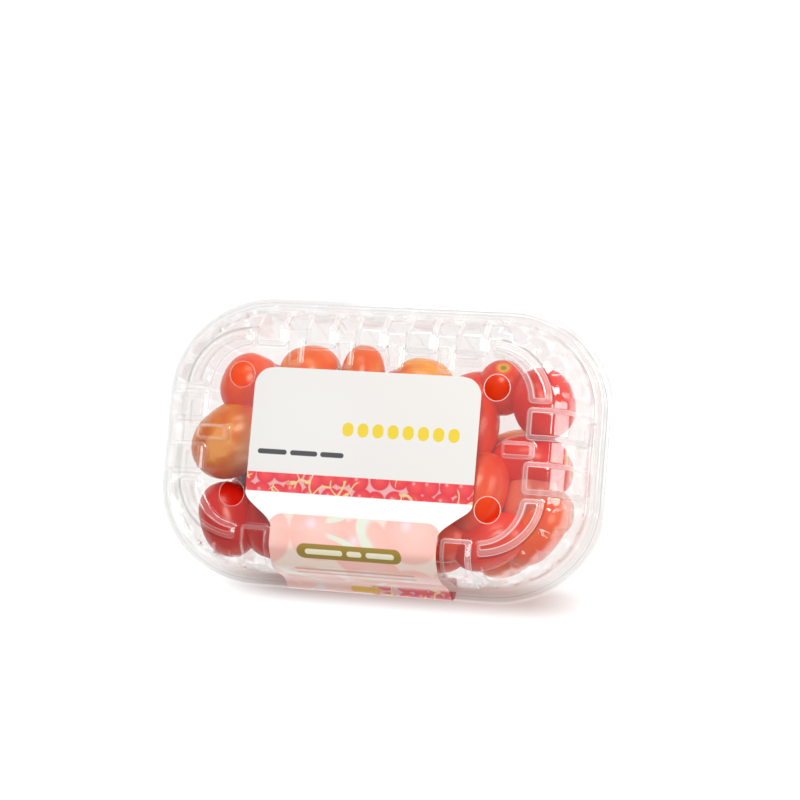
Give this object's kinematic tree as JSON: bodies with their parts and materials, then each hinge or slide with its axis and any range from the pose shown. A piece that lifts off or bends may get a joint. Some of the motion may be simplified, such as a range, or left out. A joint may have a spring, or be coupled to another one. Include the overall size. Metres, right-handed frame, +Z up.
{
  "type": "punnet of cherry plum tomatoes",
  "caption": "Shut clear plastic punnet filled with cherry plum tomatoes, sealed by a printed label that folds down over the rim.",
  "frame": {"origin": "centre of the tray's underside, on the surface that the pack lies on", "axes": "+X along the long side, to the right for someone who looks at the label's tab; +Y to the rear, away from the tab; +Z up through the lid"},
  "size_m": [0.19, 0.1196, 0.0746],
  "materials": {
    "clear_plastic": "thin clear PET sheet, glossy, faintly hazy",
    "label_paper": "glossy printed self-adhesive label, warm white with red and pink fields",
    "tomato_skin": "smooth waxy tomato skin, red to orange with a few olive patches"
  },
  "bodies": {
    "root": {"tray": "clear_plastic", "lid": "clear_plastic", "label": "label_paper", "tomatoes": "tomato_skin"}
  },
  "joints": []
}
